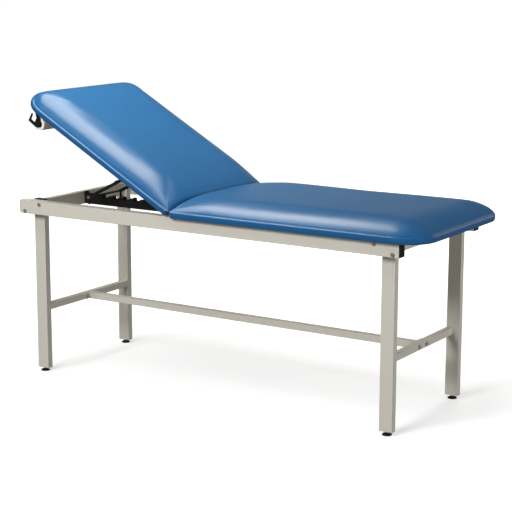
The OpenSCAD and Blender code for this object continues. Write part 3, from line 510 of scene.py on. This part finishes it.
# endRun: length of the slope at the free end; underRoll: how far the lower edge hangs below the board
def cushion(name, length, place, seed, endRun, underRoll, extraCrown=0.0):
    rings = []

    def ring(d, e, height):
        rings.append([(x, y, height(x, y)) for x, y in insetOutline(length, d, e)])

    # recess over the board, then down its side, under it and out along the hem
    roof = pad["boardThick"] + pad["boardGap"]
    inner = pad["boardInset"] - pad["boardGap"]
    boardEnd, foot = pad["boardEnd"], pad["hingeFoot"]
    for d, e, z in ((pad["recessRings"][0], pad["recessRings"][0], roof),
                    (pad["recessRings"][1], pad["recessRings"][1], roof),
                    (inner, boardEnd, roof),
                    (inner, boardEnd, -pad["underGap"]),
                    (pad["hem"], boardEnd + 0.4 * mm, -pad["underGap"]),
                    (pad["hem"], boardEnd + 0.4 * mm, -pad["hemThick"]),
                    (15 * mm, boardEnd, -pad["hemThick"]),
                    (9 * mm, foot + 1.2 * mm, -pad["hemThick"] - 0.6 * underRoll),
                    (5 * mm, foot + 0.8 * mm, -pad["hemThick"] - underRoll),
                    (3 * mm, foot + 0.4 * mm, -0.3 * mm - 0.8 * underRoll)):
        ring(d, e, lambda x, y: z)
    # side wall with its rolled edge and the crease behind it
    firstWall = len(rings)
    for d, z in pad["edge"]:
        drop = underRoll * max(0.0, 1 - z / pad["rollTo"])
        climb = (d * mm / pad["noseDepth"]) ** pad["nosePower"] if z * mm > pad["noseFoot"] else None

        def wallHeight(x, y):
            plain = plainShare(x, length)
            if climb is None or plain == 0:
                return z * mm - drop
            top = pad["band"] + (pad["crown"] + extraCrown) * crownShare(x, y, length, endRun)
            return (z * mm - drop) * (1 - plain) + (pad["noseFoot"] + (top - pad["noseFoot"]) * climb) * plain

        ring(d * mm, foot, wallHeight)
    firstCrown = len(rings)
    lip = pad["hingeLip"]
    for d in pad["crownRings"]:
        ring(d * mm, foot + d * mm - pad["hingeSlack"],
             lambda x, y: crownHeight(x - lip, y, length - lip, endRun, extraCrown))
    # at the hinge end the wall's rings stretch up to the lip, and all rings above the hem lean
    points = []
    size, grain = len(rings[0]), pad["rippleScale"]
    for k, outline in enumerate(rings):
        for x, y, z in outline:
            atEnd = x < pad["endReach"]
            if atEnd and firstWall <= k < firstCrown:
                lipTop = max(crownHeight(0.0, y * pad["lipWide"], length, endRun, extraCrown) - pad["lipDrop"],
                             pad["lipLeast"])
                nearness = smooth((foot + pad["endRound"] - x) / pad["endRound"])
                share = (k + 1 - firstWall) / (firstCrown - firstWall)
                z += max(0.0, pad["endFoot"] + (lipTop - pad["endFoot"]) * share - z) * nearness
                x = x - foot * nearness + hingeLean(z) * nearness
            elif atEnd and k >= firstCrown:
                x = x + (hingeLean(z) - foot) * math.exp(-(x - foot) / pad["leanFade"])
            if k >= firstWall:
                calm = smooth((len(rings) - 1 - k) / pad["calmRings"])
                z += noise.noise(Vector((x * grain + seed, y * grain, z * grain))) * pad["ripple"] * calm
            points.append((x, y, z))
    faces = ringFaces(len(rings), size)
    faces += capFaces(0) + capFaces((len(rings) - 1) * size)
    piece = meshPiece(name, points, faces, None, "vinyl")
    swell(piece)
    piece.data.transform(place)
    piece.data.update()
    finer = piece.modifiers.new("finer", "SUBSURF")
    finer.levels = finer.render_levels = 1
    fine = bpy.data.meshes.new_from_object(piece.evaluated_get(bpy.context.evaluated_depsgraph_get()))
    piece.modifiers.clear()
    piece.data = fine
    for polygon in fine.polygons:
        polygon.use_smooth = True
    return piece


seatPlace = Matrix.Translation(hingeAxis - Vector((0, 0, pad["axisLift"])))
backPlace = tiltMatrix @ Matrix.Translation((0, 0, -pad["axisLift"])) @ Matrix.Scale(-1, 4, (1, 0, 0))
seatPad = cushion("seatPad", cadHigh.x - hingeAxis.x, seatPlace, seed=1.3, endRun=150 * mm, underRoll=4 * mm)
backPad = cushion("backrestPad", pad["backLength"], backPlace, seed=7.7, endRun=100 * mm, underRoll=1 * mm,
                  extraCrown=4.5 * mm)
backPad.data.flip_normals()  # its place mirrors it
for padPiece, nodeName in ((seatPad, "seat_cushion"), (backPad, "backrest_cushion")):
    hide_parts(nodeName)
    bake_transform(padPiece)
print("cushions made")


# levelling feet, with radius and height in mm
glide = {"profile": [(0.0, 0.0), (15.8, 0.0), (17.2, 0.6), (17.5, 1.8), (17.3, 3.4), (16.0, 4.8), (12.5, 5.6),
                     (9.6, 6.2), (8.8, 7.2), (8.6, 8.7), (5.2, 9.0), (0.0, 9.0)]}
for corner in ("near_head", "near_foot", "far_head", "far_foot"):
    low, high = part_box(f"foot_pad_{corner}")
    place = Matrix.Translation(((low.x + high.x) / 2, (low.y + high.y) / 2, low.z))
    glidePiece = turned(f"glide_{corner}", glide["profile"], place, f"levelling_foot_{corner}", "black_plastic")
    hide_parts(f"foot_pad_{corner}")
print("feet made")


# push-on caps at the ends of the paper rod
rodCap = {"profile": [(0.0, 0.0), (11.4, 0.0), (12.0, 0.6), (12.0, 2.2), (11.0, 3.4), (8.0, 4.2), (4.0, 4.5),
                      (0.0, 4.6)]}
rodLow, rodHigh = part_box("paper_rod")
for side, sign, rodEnd in (("near", 1, rodLow.y), ("far", -1, rodHigh.y)):
    place = Matrix.Translation((rollAxis.x, rodEnd, rollAxis.z)) @ Matrix.Rotation(sign * math.pi / 2, 4, "X")
    turned(f"rod_cap_{side}", rodCap["profile"], place, "backrest", "black_plastic")
print("rod caps made")


# floor, light and camera
warmWhite = (1.0, 0.97, 0.86)
# glowNearPaintedShade: the floor's glow close to the table, kept low as a painted shade round the table
studio = {
    "worldLight": 0.12, "floorGlow": 0.86, "floorTone": (0.72, 0.74), "floorHalf": 60.0, "glowNearPaintedShade": 0.53,
    "glowReach": (1.1, 2.6),
    "sky": {"toward": (-0.15, -0.50, 1.0), "strength": 0.45, "spread": 14},
    "lamps": {
        "overhead": {"place": (-0.58, -0.04, 2.1), "target": (-0.58, -0.04, 0), "size": (1.25, 0.95), "power": 32,
                     "turn": 15, "tone": warmWhite},
        "side": {"place": (3.0, 0.1, 0.7), "target": (0.4, 0, 0.5), "size": (0.9, 1.2), "power": 26,
                 "mirrored": False},
        "back": {"place": (2.6, 4.2, 2.0), "target": (0.6, 0, 0.7), "size": (1.8, 1.4), "power": 6},
        "horizon": {"place": (-2.4, 4.4, 1.1), "target": (0, 0, 0.8), "size": (4.5, 1.0), "power": 4,
                    "tone": warmWhite},
        "rear": {"place": (-0.6, 4.7, 2.0), "target": (0, 0, 0.5), "size": (2.4, 1.4), "power": 85,
                 "mirrored": False},
        "front": {"place": (-0.4, -4.6, 3.1), "target": (0.0, 0, 0.5), "size": (2.4, 1.4), "power": 188,
                  "mirrored": False},
        "low": {"place": (0.9, -4.4, 0.42), "target": (0.7, 0, 0.42), "size": (2.4, 0.6), "power": 26,
                "mirrored": False},
    },
}


def studioFloor():
    r = Recipe("studioFloor", rough=0.7, specular=0.1)
    cloudy = r.grainNoise(1.2, 2.0)
    r.feed("Base Color", r.tint(cloudy, *((tone, tone, tone) for tone in studio["floorTone"])))
    # the lamps light the floor near the table, its own glow the rest; the glow is painted dimmer near the table, a
    # painted shade that deepens the table's shadows on the floor
    away = r.add("ShaderNodeVectorMath", {"operation": "LENGTH"}, {0: r.place}, out="Value")
    near = studio["glowNearPaintedShade"]
    r.feed("Emission Color", r.tint(r.remap(away, *studio["glowReach"], 0.0, 1.0), (near, near, near), (1, 1, 1)))
    r.shader.inputs["Emission Strength"].default_value = studio["floorGlow"]
    half = studio["floorHalf"]
    mesh = bpy.data.meshes.new("studioFloor")
    mesh.from_pydata([(-half, -half, 0), (half, -half, 0), (half, half, 0), (-half, half, 0)], [], [(0, 1, 2, 3)])
    piece = bpy.data.objects.new("studioFloor", mesh)
    mesh.materials.append(r.material)
    scene.collection.objects.link(piece)
    piece.visible_diffuse = piece.visible_glossy = False


def softLight(name, place, target, size, power, mirrored=True, turn=0, tone=(1, 1, 1)):
    data = bpy.data.lights.new(name, "AREA")
    data.shape, data.size, data.size_y, data.energy = "RECTANGLE", size[0], size[1], power
    data.color = tone
    lamp = bpy.data.objects.new(name, data)
    lamp.location = place
    lamp.rotation_euler = (Vector(target) - Vector(place)).to_track_quat("-Z", "Y").to_euler()
    lamp.rotation_euler.z += math.radians(turn)
    lamp.visible_glossy = mirrored
    scene.collection.objects.link(lamp)


def skyLight(toward, strength, spread):
    data = bpy.data.lights.new("sky", "SUN")
    data.energy, data.angle = strength, math.radians(spread)
    lamp = bpy.data.objects.new("sky", data)
    lamp.rotation_euler = Vector(toward).to_track_quat("Z", "Y").to_euler()
    lamp.visible_glossy = False
    scene.collection.objects.link(lamp)


studioFloor()
for lampName, lampValues in studio["lamps"].items():
    softLight(lampName, **lampValues)
skyLight(**studio["sky"])

# the backdrop is white, but lights the table only softly
world = bpy.data.worlds.new("studioWorld")
scene.world = world
world.use_nodes = True
worldNodes = NodeTree(world.node_tree)
seen = worldNodes.add("ShaderNodeLightPath", out="Is Camera Ray")
strength = worldNodes.add("ShaderNodeMapRange", {}, {"Value": seen, "To Min": studio["worldLight"]}, out="Result")
backdrop = world.node_tree.nodes["Background"]
backdrop.inputs["Color"].default_value = (1, 1, 1, 1)
world.node_tree.links.new(strength.socket, backdrop.inputs["Strength"])
scene.view_settings.view_transform = "Standard"

# camera: angles in radians, focal length in pixels of the photograph's frame
camera = {"place": (3.03887, -4.77293, 1.64750), "turn": 0.565005, "pitch": -0.198574, "roll": 0.00261,
          "focal": 1522.79, "framePixels": 512, "sensor": 36.0}
cameraData = bpy.data.cameras.new("photoCamera")
cameraData.sensor_width = camera["sensor"]
cameraData.lens = camera["focal"] * camera["sensor"] / camera["framePixels"]
cameraObject = bpy.data.objects.new("photoCamera", cameraData)
forward = Vector((-math.sin(camera["turn"]) * math.cos(camera["pitch"]),
                  math.cos(camera["turn"]) * math.cos(camera["pitch"]), math.sin(camera["pitch"])))
rightWay = Vector((math.cos(camera["turn"]), math.sin(camera["turn"]), 0))
upWay = rightWay.cross(forward)
rollCos, rollSin = math.cos(camera["roll"]), math.sin(camera["roll"])
rightRolled = rightWay * rollCos + upWay * rollSin
upRolled = upWay * rollCos - rightWay * rollSin
cameraObject.matrix_world = Matrix((
    (rightRolled.x, upRolled.x, -forward.x, camera["place"][0]),
    (rightRolled.y, upRolled.y, -forward.y, camera["place"][1]),
    (rightRolled.z, upRolled.z, -forward.z, camera["place"][2]),
    (0, 0, 0, 1)))
scene.collection.objects.link(cameraObject)
scene.camera = cameraObject
print("stage and camera set")
